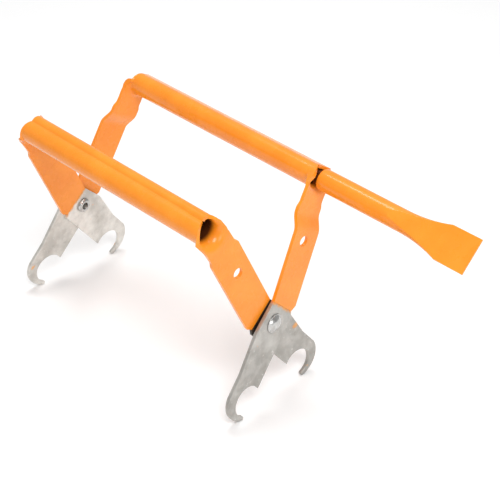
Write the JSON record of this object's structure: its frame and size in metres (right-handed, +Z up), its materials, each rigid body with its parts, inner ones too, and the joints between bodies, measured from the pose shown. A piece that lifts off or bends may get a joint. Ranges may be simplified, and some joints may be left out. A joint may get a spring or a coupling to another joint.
{
  "type": "beehive frame grip",
  "caption": "Scissor-action hand tool with rolled orange handles, hooked steel jaws at both ends for lifting a hive frame by its top bar, and a flat pry blade on one handle.",
  "frame": {"origin": "middle of the tool's bounding box, on the plane its four hooks stand on", "axes": "+X along the handles to the pry bar's blade, +Y across to the handle with the pry bar, +Z up"},
  "size_m": [0.2694, 0.0974, 0.1337],
  "materials": {
    "orange_powder_coat": "gloss powder coat",
    "bare_steel": "rolled, bare",
    "rivet_steel": "zinc plated"
  },
  "bodies": {
    "far_half": {"far_handle": "orange_powder_coat", "pry_bar": "orange_powder_coat", "far_front_jaw": "bare_steel", "far_rear_jaw": "bare_steel", "front_rivet": "rivet_steel", "rear_rivet": "rivet_steel"},
    "near_half": {"near_handle": "orange_powder_coat", "near_front_jaw": "bare_steel", "near_rear_jaw": "bare_steel"}
  },
  "joints": [
    {"name": "handle_hinge", "type": "hinge", "parent": "far_half", "child": "near_half", "pos_m": [-0.04179, 0, 0.05233], "axis": [1, 0, 0], "range_deg": [-35, 18]}
  ]
}
